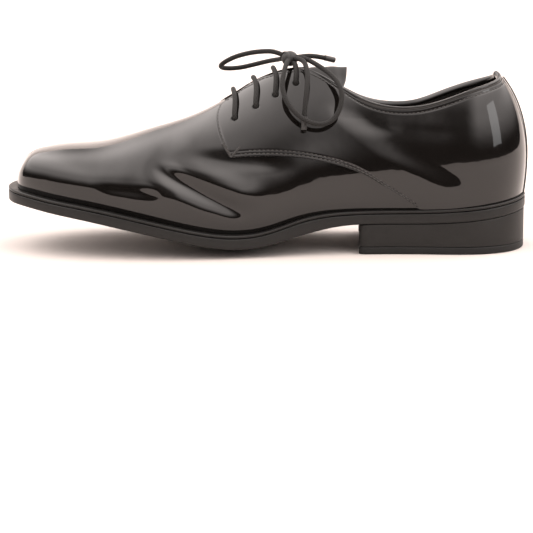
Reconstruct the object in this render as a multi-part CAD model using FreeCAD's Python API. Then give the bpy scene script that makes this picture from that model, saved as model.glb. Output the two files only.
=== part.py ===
"""A man's plain-toe derby dress shoe in patent leather, right foot, laced and tied in a bow.

Units are millimetres. +Z is up and the toe points along -X, so -Y is the medial (inner) side.
The origin is on the ground under the middle of the shoe.

Every piece of the upper lies on one shaped surface, the last. A point on the last is given by its
side (LATERAL or MEDIAL), its station u along the shoe (0 at the toe tip, 1 at the back seam), its
angle t up the wall (-FEATHER_ANGLE at the sole, pi/2 on the ridge) and its level d outwards.
"""
import FreeCAD, Part
import math
import os

V = FreeCAD.Vector
LATERAL, MEDIAL = 1, -1

# ---- driving dimensions -----------------------------------------------------------------------
LAST_TOE_X = -145.0        # foremost point of the last
LAST_BACK_X = 148.0        # rearmost point of the last at the sole
BALL_HALF_WIDTH = 43.2     # last, centre line to either side at the ball
HEEL_HALF_WIDTH = 29.5     # last, at the heel seat
FEATHER_ANGLE = 0.28       # how far the wall tucks in under its widest line, radians
FAN_START_X = 95.0         # behind this the wall lines turn round the heel
FAN_REACH = 20.0

LINING_THICK = 0.8
STIFFENER_THICK = 0.7
LEATHER_THICK = 1.2
LAYER_GAP = 0.12           # glue line between two layers of the upper
SEAT_GAP = 0.15            # glue line between the upper and what it stands on

SOLE_EDGE_TOE = 5.3        # how far the sole stands out past the upper
SOLE_EDGE_WAIST = 3.6
SOLE_EDGE_HEEL = 1.3
WELT_THICK = 2.0
WELT_INNER_LEVEL = -3.0    # the welt's inner edge, as a level on the last
HEEL_SOLE_THICK = 8.0
BALL_SOLE_THICK = 7.5
TOE_SOLE_THICK = 6.7
TREAD_CROWN = 6.4         # how far the tread's middle bulges below its edges

HEEL_BREAST_X = 52.3
HEEL_BREAST_HOLLOW = 6.0
HEEL_BREAST_SKEW = 10.0    # the hollow's deepest line lies towards the lateral side
HEEL_INSET = 0.5
TOP_PIECE_THICK = 4.4
NAIL_RADIUS = 1.4
NAIL_CLEARANCE = 0.05

INSOLE_THICK = 2.0
SOCK_THICK = 1.2
SHANK_HALF_WIDTH = 7.0
SHANK_FRONT_X, SHANK_REAR_X = 12.0, 108.0
SHANK_THICK = 1.4

TOPLINE_DIP = {LATERAL: 80.6, MEDIAL: 83.0}    # height of the collar at the ankle
BACK_HEIGHT = 101.3        # height of the collar at the back seam
BINDING_HEIGHT = 2.4

LACE_RADIUS = 1.45
LACE_CLEARANCE = 0.35
EYELET_RADIUS = LACE_RADIUS + 0.5    # the hole's clear radius
EYELET_WALL = 0.4
AGLET_WALL = 0.25

TONGUE_THICK = 1.1
TONGUE_PAD_THICK = 1.5
TONGUE_LINING_THICK = 0.8

# ---- levels of the upper's layers, outwards from the last -------------------------------------
LINING_OUT = LINING_THICK
STIFFENER_IN = LINING_OUT + LAYER_GAP
STIFFENER_OUT = STIFFENER_IN + STIFFENER_THICK
VAMP_IN = STIFFENER_OUT + LAYER_GAP
VAMP_OUT = VAMP_IN + LEATHER_THICK
OVERLAY_IN = VAMP_OUT + LAYER_GAP
OVERLAY_OUT = OVERLAY_IN + LEATHER_THICK


# ---- small maths ------------------------------------------------------------------------------
def spline(points):
    """A natural cubic spline through (position, value) points, as a function."""
    xs = [p[0] for p in points]
    ys = [p[1] for p in points]
    last = len(xs) - 1
    steps = [xs[i + 1] - xs[i] for i in range(last)]
    bend = [0.0] * (last + 1)
    lower = [0.0] * (last + 1)
    for i in range(1, last):
        share = 2 * (xs[i + 1] - xs[i - 1]) - steps[i - 1] * lower[i - 1]
        lower[i] = steps[i] / share
        rise = (ys[i + 1] - ys[i]) / steps[i] - (ys[i] - ys[i - 1]) / steps[i - 1]
        bend[i] = (6 * rise - steps[i - 1] * bend[i - 1]) / share
    for i in range(last - 1, 0, -1):
        bend[i] -= lower[i] * bend[i + 1]

    def value(x):
        x = min(max(x, xs[0]), xs[last])
        i = 0
        while i < last - 1 and x > xs[i + 1]:
            i += 1
        a, b, h = xs[i + 1] - x, x - xs[i], steps[i]
        straight = (ys[i] * a + ys[i + 1] * b) / h
        return straight + (bend[i] * (a ** 3 / h - a * h) + bend[i + 1] * (b ** 3 / h - b * h)) / 6

    return value


def smooth(x, low, high):
    """0 below low, 1 above high, and a smooth step between."""
    s = min(max((x - low) / (high - low), 0.0), 1.0)
    return s * s * (3 - 2 * s)


def mix(a, b, s):
    return a + (b - a) * s


# ---- the last ---------------------------------------------------------------------------------
LAST_MIDDLE_X = (LAST_TOE_X + LAST_BACK_X) / 2
LAST_HALF_LENGTH = (LAST_BACK_X - LAST_TOE_X) / 2
TOE_TIP_Y = MEDIAL * 5.0   # the toe tip lies towards the medial side

# Half width of the feather line at each station, as shares of the ball's or the heel's.
lateral_share = spline([(0, 0), (0.05, 0.25), (0.10, 0.455), (0.15, 0.63), (0.2, 0.77), (0.3, 0.945),
                        (0.4, 1), (0.5, 0.955), (0.6, 0.80), (0.7, 0.71), (0.8, 0.68), (0.9, 0.43), (1, 0)])
medial_share = spline([(0, 0), (0.05, 0.28), (0.10, 0.505), (0.15, 0.68), (0.2, 0.81), (0.3, 0.96),
                       (0.38, 1), (0.5, 0.83), (0.6, 0.655), (0.7, 0.65), (0.8, 0.68), (0.9, 0.43), (1, 0)])
ridge_y = spline([(0, TOE_TIP_Y), (0.15, TOE_TIP_Y / 2), (0.3, TOE_TIP_Y / 5), (0.5, TOE_TIP_Y / 4),
                  (0.6, TOE_TIP_Y / 5), (0.75, 0.0), (1, 0.0)])
ridge_z = spline([(0, 38.4), (0.05, 45.0), (0.093, 52.0), (0.14, 55.4), (0.2, 57.4), (0.267, 59.2),
                  (0.343, 67.2), (0.41, 76.8), (0.472, 92.3), (0.511, 100.8), (0.56, 105.0), (0.61, 105.2),
                  (0.71, 108.0), (0.84, 110.6), (1, 108.6)])
widest_rise = spline([(0, 0), (0.05, 3.0), (0.1, 5.5), (0.2, 8.5), (0.4, 12), (0.6, 14), (0.8, 18), (1, 22)])
pinch = spline([(0, -0.12), (0.1, -0.30), (0.2, -0.28), (0.34, -0.06), (0.42, 0.10), (0.5, 0.30),
                (0.56, 0.32), (0.66, 0.10), (0.8, 0.0), (1, 0.0)])
sole_top = spline([(-160, 38.2), (-150, 36.8), (-140, 35.5), (-128.5, 33.7), (-106, 30.3), (-83, 25.8),
                   (-60, 20.6),
                   (-40, 16.2), (-20, 13.7), (0, 15.8), (19, 21.7), (48, 25.3), (90, 26.0), (113, 27.3),
                   (137, 29.9), (153, 32.3), (162, 33.8)])


def half_width(side, u):
    share = lateral_share(u) if side == LATERAL else medial_share(u)
    width = mix(BALL_HALF_WIDTH, HEEL_HALF_WIDTH / 0.68, smooth(u, 0.55, 0.8)) * share
    return side * width + TOE_TIP_Y * (1 - smooth(u, 0.0, 0.16))


def outline(side, u, level):
    """Plan position of the feather line at a station, level millimetres outside the last."""
    step = 1e-4
    low, high = max(u - step, 0.0), min(u + step, 1.0)
    dx = LAST_HALF_LENGTH * (math.cos(math.pi * low) - math.cos(math.pi * high))
    dy = half_width(side, high) - half_width(side, low)
    if u < step or u > 1 - step:
        dx = 0.0
    size = math.hypot(dx, dy)
    nx, ny = -side * dy / size, side * dx / size
    x = LAST_MIDDLE_X - LAST_HALF_LENGTH * math.cos(math.pi * u)
    return x + level * nx, half_width(side, u) + level * ny


def last_point(side, u, t, level):
    fx, fy = outline(side, u, level)
    cx = fx
    if fx > FAN_START_X:
        cx = FAN_START_X + FAN_REACH * math.tanh((fx - FAN_START_X) / FAN_REACH)
    cy = ridge_y(u)
    floor = sole_top(fx) + SEAT_GAP
    rise = widest_rise(u)
    if t >= 0:
        reach = math.cos(t) * (1 - pinch(u) * math.sin(t) ** 2)
        z = floor + rise + (ridge_z(u) + level - floor - rise) * smooth(u, 0, 0.02) * math.sin(t)
    else:
        reach = math.cos(t)
        z = floor + rise * (1 - math.sin(-t) / math.sin(FEATHER_ANGLE))
    reach /= math.cos(FEATHER_ANGLE)
    return V(cx + (fx - cx) * reach, cy + (fy - cy) * reach, z)


def wall_angle(u, z, level):
    """The angle t at which the wall of station u reaches the height z."""
    fx = LAST_MIDDLE_X - LAST_HALF_LENGTH * math.cos(math.pi * u)
    floor = sole_top(fx) + SEAT_GAP
    rise = widest_rise(u)
    if z < floor + rise:
        below = (1 - (z - floor) / rise) * math.sin(FEATHER_ANGLE)
        return -math.asin(min(max(below, 0.0), math.sin(FEATHER_ANGLE)))
    return math.asin(min((z - floor - rise) / (ridge_z(u) + level - floor - rise), 0.9999))


def locate(side, x, z, level=VAMP_OUT):
    """(u, t) of the point of the last seen at (x, z) from the side. A z of None is the feather line."""
    u = math.acos(min(max((LAST_MIDDLE_X - x) / LAST_HALF_LENGTH, -1.0), 1.0)) / math.pi
    for _ in range(40):
        t = -FEATHER_ANGLE if z is None else wall_angle(u, z, level)
        miss = x - last_point(side, u, t, level).x
        u = min(max(u + miss / (math.pi * LAST_HALF_LENGTH * max(math.sin(math.pi * u), 0.2)), 0.0), 1.0)
    return u, t


def curve_on_last(side, points, level=VAMP_OUT):
    """A smooth curve in (u, t) through points seen from the side, as a function of 0 to 1."""
    found = [p[1:] if p[0] == "at" else locate(side, p[0], p[1], level) for p in points]
    seen = [last_point(side, u, t, level) for u, t in found]
    along = [0.0]
    for a, b in zip(seen, seen[1:]):
        along.append(along[-1] + (b - a).Length)
    along = [a / along[-1] for a in along]
    us = spline(list(zip(along, [f[0] for f in found])))
    ts = spline(list(zip(along, [f[1] for f in found])))
    return lambda p: (min(max(us(p), 0.0), 1.0), min(max(ts(p), -FEATHER_ANGLE), math.pi / 2))


def chain(curves, breaks):
    """Curves one after another as a single function of 0 to 1, changing over at breaks."""
    edges = [0.0] + breaks + [1.0]

    def value(p):
        i = 0
        while i < len(curves) - 1 and p > edges[i + 1]:
            i += 1
        return curves[i]((p - edges[i]) / (edges[i + 1] - edges[i]))

    return value


def coons(bottom, top, front, back):
    """A (u, t) patch filled in between four boundary curves."""
    def value(p, q):
        result = []
        for k in (0, 1):
            across = mix(bottom(p)[k], top(p)[k], q)
            along = mix(front(q)[k], back(q)[k], p)
            corner = mix(mix(bottom(0)[k], bottom(1)[k], p), mix(top(0)[k], top(1)[k], p), q)
            result.append(across + along - corner)
        return min(max(result[0], 0.0), 1.0), min(max(result[1], -FEATHER_ANGLE), math.pi / 2)

    return value


# ---- solids -----------------------------------------------------------------------------------
def greville(count):
    """Where a clamped cubic's control points sit in 0 to 1."""
    spans = count - 3
    knots = [0] * 3 + list(range(spans + 1)) + [spans] * 3
    return [sum(knots[i + 1:i + 4]) / (3.0 * spans) for i in range(count)]


def net_surface(point, rows, columns):
    """A cubic surface whose control points are point(p, q) at their own places."""
    net = [[point(p, q) for q in greville(columns)] for p in greville(rows)]
    knots_p, knots_q = (list(range(n - 2)) for n in (rows, columns))
    mults_p, mults_q = ([4] + [1] * (n - 4) + [4] for n in (rows, columns))
    surface = Part.BSplineSurface()
    surface.buildFromPolesMultsKnots(net, mults_p, mults_q, knots_p, knots_q, False, False, 3, 3)
    return surface


def thick_patch(outer, inner, rows, columns, pole=False):
    """A solid between two surfaces given as functions of (p, q). With pole, p = 0 is one point."""
    surfaces = [net_surface(f, rows, columns) for f in (outer, inner)]
    end_p, end_q = rows - 3, columns - 3
    faces = [s.toShape() for s in surfaces]
    cuts = [("u", end_p), ("v", 0), ("v", end_q)] + ([] if pole else [("u", 0)])
    for direction, place in cuts:
        edges = [(s.uIso(place) if direction == "u" else s.vIso(place)).toShape() for s in surfaces]
        faces.append(Part.makeRuledSurface(*edges, 1))
    shell = Part.makeShell(faces)
    shell.sewShape()
    solid = Part.makeSolid(Part.Shell(shell.Faces))
    if solid.Volume < 0:
        solid.reverse()
    return solid


def patch_on_last(side, patch, outer_level, inner_level, rows, columns):
    """A layer of the upper on one side. Levels are numbers or functions of a point's (u, t)."""
    def at(level):
        def point(p, q):
            u, t = patch(p, q)
            return last_point(side, u, t, level(u, t) if callable(level) else level)
        return point

    return thick_patch(at(outer_level), at(inner_level), rows, columns)


def dome_on_last(rear, outer_level, inner_level, rows, columns):
    """A layer that wraps the toe, back to the station rear(v). v runs -1 to 1 across the shoe."""
    def at(level):
        def point(p, q):
            v = 2 * q - 1
            t = mix(math.pi / 2, -FEATHER_ANGLE, abs(v))
            return last_point(-1 if v < 0 else 1, p * rear(v), t, level)
        return point

    return thick_patch(at(outer_level), at(inner_level), rows, columns, pole=True)


def wrap_on_last(low, high, outer_level, inner_level, rows, columns):
    """A layer that wraps the heel. low and high give (u, t) for a side and w, 0 at the back seam."""
    def at(level):
        def point(p, q):
            w = 2 * p - 1
            side = -1 if w < 0 else 1
            a, b = low(side, abs(w)), high(side, abs(w))
            return last_point(side, mix(a[0], b[0], q), mix(a[1], b[1], q), level)
        return point

    return thick_patch(at(outer_level), at(inner_level), rows, columns)


def outline_prism(level, low, high):
    """The upright solid inside the outline at a level, which is a number or a function of u."""
    edges = []
    for side in (LATERAL, MEDIAL):
        points = []
        for i in range(45):
            u = i / 44
            x, y = outline(side, u, level(u) if callable(level) else level)
            points.append(V(x, y, low))
        curve = Part.BSplineCurve()
        curve.interpolate(points)
        edges.append(curve.toShape())
    return Part.Face(Part.Wire(Part.__sortEdges__(edges))).extrude(V(0, 0, high - low))


SLAB_X, SLAB_Y = 162.0, 62.0


def slab(top, bottom):
    """A solid between two heights given as functions of (x, y), wider than the whole shoe."""
    def at(height):
        return lambda p, q: V(mix(-SLAB_X, SLAB_X, p), mix(-SLAB_Y, SLAB_Y, q),
                              height(mix(-SLAB_X, SLAB_X, p), mix(-SLAB_Y, SLAB_Y, q)))

    return thick_patch(at(top), at(bottom), 84, 14)


def box(x0, x1, y0, y1, z0, z1):
    return Part.makeBox(x1 - x0, y1 - y0, z1 - z0, V(x0, y0, z0))


def round_path(points):
    """Straight runs joined by tangent arcs, each as large as its two runs allow."""
    edges, radii, start = [], [], points[0]
    for before, corner, after in zip(points, points[1:], points[2:]):
        back, ahead = before - corner, after - corner
        turn = math.pi - back.getAngle(ahead)
        cut = 0.45 * min(back.Length, ahead.Length)
        radii.append(cut / math.tan(turn / 2))
        back.normalize()
        ahead.normalize()
        a, b = corner + back * cut, corner + ahead * cut
        middle = back + ahead
        middle.normalize()
        bulge = radii[-1] / math.cos(turn / 2) - radii[-1]
        edges.append(Part.LineSegment(start, a).toShape())
        edges.append(Part.Arc(a, corner + middle * bulge, b).toShape())
        start = b
    edges.append(Part.LineSegment(start, points[-1]).toShape())
    return Part.Wire(edges), min(radii)


def tube(name, points, radius):
    points = [V(*p) for p in points]
    wire, tightest = round_path(points)
    direction = points[1] - points[0]
    profile = Part.Wire(Part.makeCircle(radius, points[0], direction))
    solid = wire.makePipeShell([profile], True, False)
    share = solid.Volume / (math.pi * radius ** 2 * wire.Length)
    print(f"{name}: length {wire.Length:.1f}, tightest radius {tightest:.2f}, volume share {share:.4f}")
    return solid


PARTS = {}


def keep(name, *solids):
    shape = solids[0] if len(solids) == 1 else Part.makeCompound(list(solids))
    PARTS[name] = shape


# ---- the bottom -------------------------------------------------------------------------------
sole_edge = spline([(0, SOLE_EDGE_TOE), (0.45, SOLE_EDGE_TOE - 0.6), (0.6, SOLE_EDGE_WAIST), (0.8, 2.0),
                    (1, SOLE_EDGE_HEEL)])
edge_thick = spline([(-160, TOE_SOLE_THICK), (-130, TOE_SOLE_THICK + 0.1), (-106, TOE_SOLE_THICK + 0.6),
                     (-80, BALL_SOLE_THICK + 0.3), (-50, BALL_SOLE_THICK + 0.1),
                     (-20, BALL_SOLE_THICK - 0.3), (0, BALL_SOLE_THICK - 0.7),
                     (22, HEEL_SOLE_THICK + 0.1), (45, HEEL_SOLE_THICK),
                     (90, HEEL_SOLE_THICK), (162, HEEL_SOLE_THICK)])


def sole_level(u):
    return VAMP_OUT + sole_edge(u)


def crown(x):
    return TREAD_CROWN * (1 - smooth(x, -5, 48)) * (1 - 0.75 * smooth(-x, 60, 150))


def tread(x, y):
    return sole_top(x) - edge_thick(x) - crown(x) * max(1 - (y / (BALL_HALF_WIDTH + 8)) ** 2, 0)


def sole_minus(depth):
    return lambda x, y: sole_top(x) - depth


sole_block = outline_prism(sole_level, -5, 60)
inner_block = outline_prism(WELT_INNER_LEVEL, -5, 60)
heel_block_outline = outline_prism(lambda u: sole_level(u) - HEEL_INSET, -5, 60)

nail_places = [(72, -20), (72, 20), (98, -21), (98, 21), (122, -15), (122, 15), (132, 0)]
nail_bottom = TOP_PIECE_THICK + 3


def nails(radius):
    return [Part.makeCylinder(radius, sole_top(x) - WELT_THICK - 0.3 - nail_bottom, V(x, y, nail_bottom))
            for x, y in nail_places]


def drill(solid, radius):
    for x, y in nail_places:
        solid = solid.cut(Part.makeCylinder(radius, 60, V(x, y, nail_bottom)))
    return solid


outsole = sole_block.common(slab(sole_minus(WELT_THICK), tread))
keep("outsole", drill(outsole, NAIL_RADIUS + NAIL_CLEARANCE))

welt = sole_block.cut(inner_block).common(slab(sole_minus(0), sole_minus(WELT_THICK - 0.1)))
keep("welt", welt)

hollow_centre = V(HEEL_BREAST_X - 150 + HEEL_BREAST_HOLLOW, LATERAL * HEEL_BREAST_SKEW, -5)
hollow = Part.makeCylinder(150, 60, hollow_centre)
heel_plan = heel_block_outline.common(box(HEEL_BREAST_X, 170, -60, 60, -5, 60)).cut(hollow)
under_sole = slab(lambda x, y: tread(x, y) - 0.1, lambda x, y: -8.0)
heel_block = heel_plan.common(under_sole).common(box(0, 170, -60, 60, TOP_PIECE_THICK + 0.05, 60))
keep("heel_block", drill(heel_block, NAIL_RADIUS + NAIL_CLEARANCE))
top_piece = heel_plan.common(box(0, 170, -60, 60, 0, TOP_PIECE_THICK))
keep("heel_top_piece", top_piece)
keep("heel_nails", *nails(NAIL_RADIUS))

filler_slab = slab(sole_minus(0.1), sole_minus(WELT_THICK - 0.12))
filler = outline_prism(WELT_INNER_LEVEL - 0.3, -5, 60).common(filler_slab)
SHANK_CLEARANCE = 0.3
slot_half = SHANK_HALF_WIDTH + SHANK_CLEARANCE
slot_front, slot_rear = SHANK_FRONT_X - SHANK_CLEARANCE, SHANK_REAR_X + SHANK_CLEARANCE
shank_slot = box(slot_front, slot_rear, -slot_half, slot_half, 0, 60)
keep("cork_filler", filler.cut(shank_slot))
shank = slab(sole_minus(WELT_THICK - 0.15 - SHANK_THICK), sole_minus(WELT_THICK - 0.15))
keep("shank", shank.common(box(SHANK_FRONT_X, SHANK_REAR_X, -SHANK_HALF_WIDTH, SHANK_HALF_WIDTH, 0, 60)))
insole_outline = outline_prism(-0.4, -5, 60)
keep("insole", insole_outline.common(slab(sole_minus(-INSOLE_THICK - 0.05), sole_minus(-0.05))))
sock_outline = outline_prism(-0.9, -5, 60)
sock_bottom = INSOLE_THICK + 0.1
sock_slab = slab(sole_minus(-sock_bottom - SOCK_THICK), sole_minus(-sock_bottom))
keep("sock_liner", sock_outline.common(sock_slab))

# ---- the vamp and its layers ------------------------------------------------------------------
def rear_edge(points, centre_x):
    """The rear edge of a dome as a station for v of -1 to 1, from points seen on either side."""
    found = []
    for side in (LATERAL, MEDIAL):
        row = []
        for x, z in points:
            u, t = locate(side, x, z)
            row.append((side * (math.pi / 2 - t) / (math.pi / 2 + FEATHER_ANGLE), u))
        found += row
    centre_u = math.acos((LAST_MIDDLE_X - centre_x) / LAST_HALF_LENGTH) / math.pi
    found.append((0.0, centre_u))
    return spline(sorted(found))


vamp_rear = rear_edge([(98, None), (80, 41.5), (60, 55.5), (38, 62.5), (16, 66), (-8, 67.5), (-20.5, 72),
                       (-25.5, 78.5)], -26)
keep("vamp", dome_on_last(vamp_rear, VAMP_OUT, VAMP_IN, 56, 45))
lining_rear = rear_edge([(30, None), (24, 36), (8, 51), (-10, 60.5), (-22, 68.5), (-27, 76)], -28)
keep("vamp_lining", dome_on_last(lining_rear, LINING_OUT, 0.0, 48, 41))
puff_rear = rear_edge([(-92, None), (-97, 40), (-103, 52)], -106)
keep("toe_puff", dome_on_last(puff_rear, STIFFENER_OUT, STIFFENER_IN, 30, 37))

# ---- the quarters and their layers ------------------------------------------------------------
SEAM_END_X = 87.5
FACING_TOP = (21, 103.8)
seam_line = [(-22.5, 57.0), (-12, 57.6), (-2, 57.7), (18, 56.5), (36.3, 53.1), (54.3, 46.8), (72.4, 36.4),
             (SEAM_END_X, None)]
facing_front = [(-22.5, 57.0), (-27.5, 65.3), (-30.3, 73.4), (-30.5, 79.4), (-28.5, 83.4)]
facing_edge = [(-28.5, 83.4), (-24, 86.7), (-17.5, 90.7), (-11, 95.2), (-2, 99.4), (7, 102.3), FACING_TOP]


def back_angle(z):
    return wall_angle(1.0, z, VAMP_OUT)


def topline_points(side):
    dip = TOPLINE_DIP[side]
    return [FACING_TOP, (30, dip + 17.6), (42, dip + 11.2), (57, dip + 3.5), (74, dip), (88, dip + 0.8),
            (104, mix(dip + 5.2, BACK_HEIGHT - 13, 0.5)), (119, mix(dip + 10.4, BACK_HEIGHT - 7.8, 0.6)),
            ("at", 0.955, wall_angle(0.955, BACK_HEIGHT - 1.6, VAMP_OUT)),
            ("at", 1.0, wall_angle(1.0, BACK_HEIGHT, VAMP_OUT))]


def topline_curve(side):
    return curve_on_last(side, topline_points(side))


def feather_curve(side, start_x):
    u = locate(side, start_x, None)[0]
    return lambda p: (mix(u, 1.0, p), -FEATHER_ANGLE)


def quarter_patch(side):
    bottom = chain([curve_on_last(side, seam_line), feather_curve(side, SEAM_END_X)], [0.58])
    top = chain([curve_on_last(side, facing_edge), topline_curve(side)], [0.32])
    front = curve_on_last(side, facing_front)
    return coons(bottom, top, front, lambda q: (1.0, mix(-FEATHER_ANGLE, back_angle(BACK_HEIGHT), q)))


def overlay_share(side, u, t):
    """1 where the quarter lies over the vamp or the tongue, 0 behind them."""
    seen = last_point(side, u, t, VAMP_OUT)
    line = 101 - 1.25 * (seen.z - 25) * smooth(seen.z, 25, 60)
    line = max(line, 36 - 0.1 * (seen.z - 60))
    return 1 - smooth(seen.x, line, line + 26)


def quarter_levels(side):
    drop = OVERLAY_IN - VAMP_IN
    return (lambda u, t: VAMP_OUT + drop * overlay_share(side, u, t),
            lambda u, t: VAMP_IN + drop * overlay_share(side, u, t))


eyelet_places = [(-19.6, 78.6), (-7.4, 85.1), (4.0, 91.4), (15.8, 97.9)]


def surface_normal(side, u, t, level):
    step = 1e-3
    a = last_point(side, u + step, t, level) - last_point(side, u - step, t, level)
    b = last_point(side, u, t + step, level) - last_point(side, u, t - step, level)
    n = a.cross(b)
    n.normalize()
    return n if n.z > 0 else n * -1


def eyelet_axis(side, place):
    u, t = locate(side, place[0], place[1], OVERLAY_OUT)
    return last_point(side, u, t, OVERLAY_OUT), surface_normal(side, u, t, OVERLAY_OUT)


def punch(solid, side, radius):
    for place in eyelet_places:
        point, normal = eyelet_axis(side, place)
        solid = solid.cut(Part.makeCylinder(radius, 16, point - normal * 8, normal))
    return solid


FACING_LINING_THICK = 0.7
facing_lining_in = OVERLAY_IN - LAYER_GAP - FACING_LINING_THICK
facing_bottom = [(-14.5, 71.4), (0, 75.8), (14, 80.8), (27, 86.2)]
facing_top_edge = [(-19.0, 89.3), (-11, 95.0), (-2, 99.2), (7, 102.1), FACING_TOP]
side_names = {LATERAL: "lateral", MEDIAL: "medial"}
eyelets = []
for side, side_name in side_names.items():
    outer_level, inner_level = quarter_levels(side)
    quarter = patch_on_last(side, quarter_patch(side), outer_level, inner_level, 64, 26)
    keep(f"quarter_{side_name}", punch(quarter, side, EYELET_RADIUS))
    facing_patch = coons(curve_on_last(side, facing_bottom), curve_on_last(side, facing_top_edge),
                         curve_on_last(side, [(-14.5, 71.4), (-21.5, 77.9), (-23.2, 82.4), (-19.0, 89.3)]),
                         curve_on_last(side, [(27, 86.2), (25.5, 95), FACING_TOP]))
    facing = patch_on_last(side, facing_patch, OVERLAY_IN - LAYER_GAP, facing_lining_in, 20, 16)
    keep(f"facing_lining_{side_name}", punch(facing, side, EYELET_RADIUS + EYELET_WALL + 0.05))
    for place in eyelet_places:
        point, normal = eyelet_axis(side, place)
        foot = point - normal * (OVERLAY_OUT - facing_lining_in)
        height = FACING_LINING_THICK
        ring = Part.makeCylinder(EYELET_RADIUS + EYELET_WALL, height, foot, normal)
        eyelets.append(ring.cut(Part.makeCylinder(EYELET_RADIUS, height, foot, normal)))
    lining_bottom = feather_curve(side, 31.0)
    rising = [(-6.5, 63.0), (10, 70.3), (30, 82), (36, 89), (42, TOPLINE_DIP[side] + 11.2)]
    lining_top = chain([curve_on_last(side, rising), curve_on_last(side, topline_points(side)[2:])], [0.35])
    lining_front = curve_on_last(side, [(31.0, None), (25.5, 36.5), (10, 52), (-6.5, 63.0)])
    lining_patch = coons(lining_bottom, lining_top, lining_front,
                         lambda q: (1.0, mix(-FEATHER_ANGLE, back_angle(BACK_HEIGHT), q)))
    keep(f"quarter_lining_{side_name}", patch_on_last(side, lining_patch, LINING_OUT, 0.0, 56, 22))
keep("blind_eyelets", *eyelets)

# ---- the heel's stiffener, back strip and collar binding ---------------------------------------
COUNTER_FRONT_U = locate(MEDIAL, 84, None)[0]
counter_top = spline([(0, 74), (0.5, 68), (0.8, 52), (1, 36)])


def counter_low(side, w):
    return mix(1.0, COUNTER_FRONT_U, w), -FEATHER_ANGLE


def counter_high(side, w):
    u = mix(1.0, COUNTER_FRONT_U + 0.04, w)
    return u, wall_angle(u, counter_top(w), STIFFENER_OUT)


keep("heel_counter", wrap_on_last(counter_low, counter_high, STIFFENER_OUT, STIFFENER_IN, 41, 12))

STRIP_TOP_U, STRIP_BOTTOM_U = 0.984, 0.980
strip_in = VAMP_OUT + LAYER_GAP


def strip_low(side, w):
    return mix(1.0, STRIP_BOTTOM_U, w), -FEATHER_ANGLE


def strip_high(side, w):
    u = mix(1.0, STRIP_TOP_U, w)
    return u, wall_angle(u, BACK_HEIGHT - 1.8, VAMP_OUT)


keep("backstay", wrap_on_last(strip_low, strip_high, strip_in + 0.8, strip_in, 13, 20))

collars = {side: topline_curve(side) for side in (LATERAL, MEDIAL)}


def collar(lift):
    def place(side, w):
        u, t = collars[side](1 - w)
        seen = last_point(side, u, t, VAMP_OUT)
        return u, wall_angle(u, seen.z + lift, VAMP_OUT)
    return place


keep("topline_binding", wrap_on_last(collar(0.15), collar(BINDING_HEIGHT), VAMP_OUT + 0.1, -0.1, 91, 8))

# ---- the tongue -------------------------------------------------------------------------------
TONGUE_FRONT_X, TONGUE_TIP_X = -32.0, 46.0
TONGUE_LEVEL = -2.9        # its outer face under the facings
TONGUE_RISE = 3.8          # how far it stands up between them


def station(x):
    return math.acos((LAST_MIDDLE_X - x) / LAST_HALF_LENGTH) / math.pi


tongue_edge = spline([(0, 1.04), (0.3, 1.02), (0.7, 0.93), (1, 0.87)])


def tongue_layer(depth, thick, inset):
    u0, u1 = station(TONGUE_FRONT_X + inset), station(TONGUE_TIP_X - inset)

    def at(below):
        def point(p, q):
            v = 2 * q - 1
            tip = (1 - 0.035 * v ** 4)
            u = mix(u0, u1 * tip, p)
            t = mix(math.pi / 2, tongue_edge(p) + inset * 0.012, abs(v))
            rise = TONGUE_RISE * smooth(t, 1.24, math.pi / 2) * smooth(u, station(-24), station(-13))
            return last_point(-1 if v < 0 else 1, u, t, TONGUE_LEVEL + rise - below)
        return point

    return thick_patch(at(depth), at(depth + thick), 24, 19)


keep("tongue", tongue_layer(0, TONGUE_THICK, 0))
keep("tongue_padding", tongue_layer(TONGUE_THICK + 0.1, TONGUE_PAD_THICK, 4))
keep("tongue_lining", tongue_layer(TONGUE_THICK + TONGUE_PAD_THICK + 0.2, TONGUE_LINING_THICK, 0.5))

# ---- the lace ---------------------------------------------------------------------------------
inner_level = facing_lining_in - LACE_CLEARANCE - LACE_RADIUS
outer_level = OVERLAY_OUT + LACE_CLEARANCE + LACE_RADIUS
BAR_LEAN = 2.4             # a bar's crest lies this far ahead of its holes


hole_x = spline([(i, place[0]) for i, place in enumerate(eyelet_places)])
hole_z = spline([(i, place[1]) for i, place in enumerate(eyelet_places)])


def hole(side, number, level, shift=0.0):
    """The point over or under a hole at a level, shifted up the facing. Halves lie between holes."""
    place = (hole_x(number) - 0.5 * shift, hole_z(number) + shift)
    point, normal = eyelet_axis(side, place)
    return point + normal * (level - OVERLAY_OUT)


def inside(side, number, shift=0.0):
    return hole(side, number, inner_level, shift)


def over(side, number):
    """A bar's way from its hole to the crown of the facing."""
    u, t = locate(side, hole_x(number), hole_z(number), OVERLAY_OUT)
    way = [hole(side, number, outer_level)]
    for share in (0.33, 0.66):
        there = station(hole_x(number) - BAR_LEAN * share)
        way.append(last_point(side, there, mix(t, math.pi / 2, share), outer_level + 0.8))
    return way


def bar(side, number):
    """The bar across the opening, from one side's hole to the other's."""
    crest = last_point(side, station(hole_x(number) - BAR_LEAN), math.pi / 2, outer_level + 0.8)
    return over(side, number) + [crest] + over(-side, number)[::-1]


def rounded(points):
    return [(round(p.x, 2), round(p.y, 2), round(p.z, 2)) for p in points]


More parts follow.
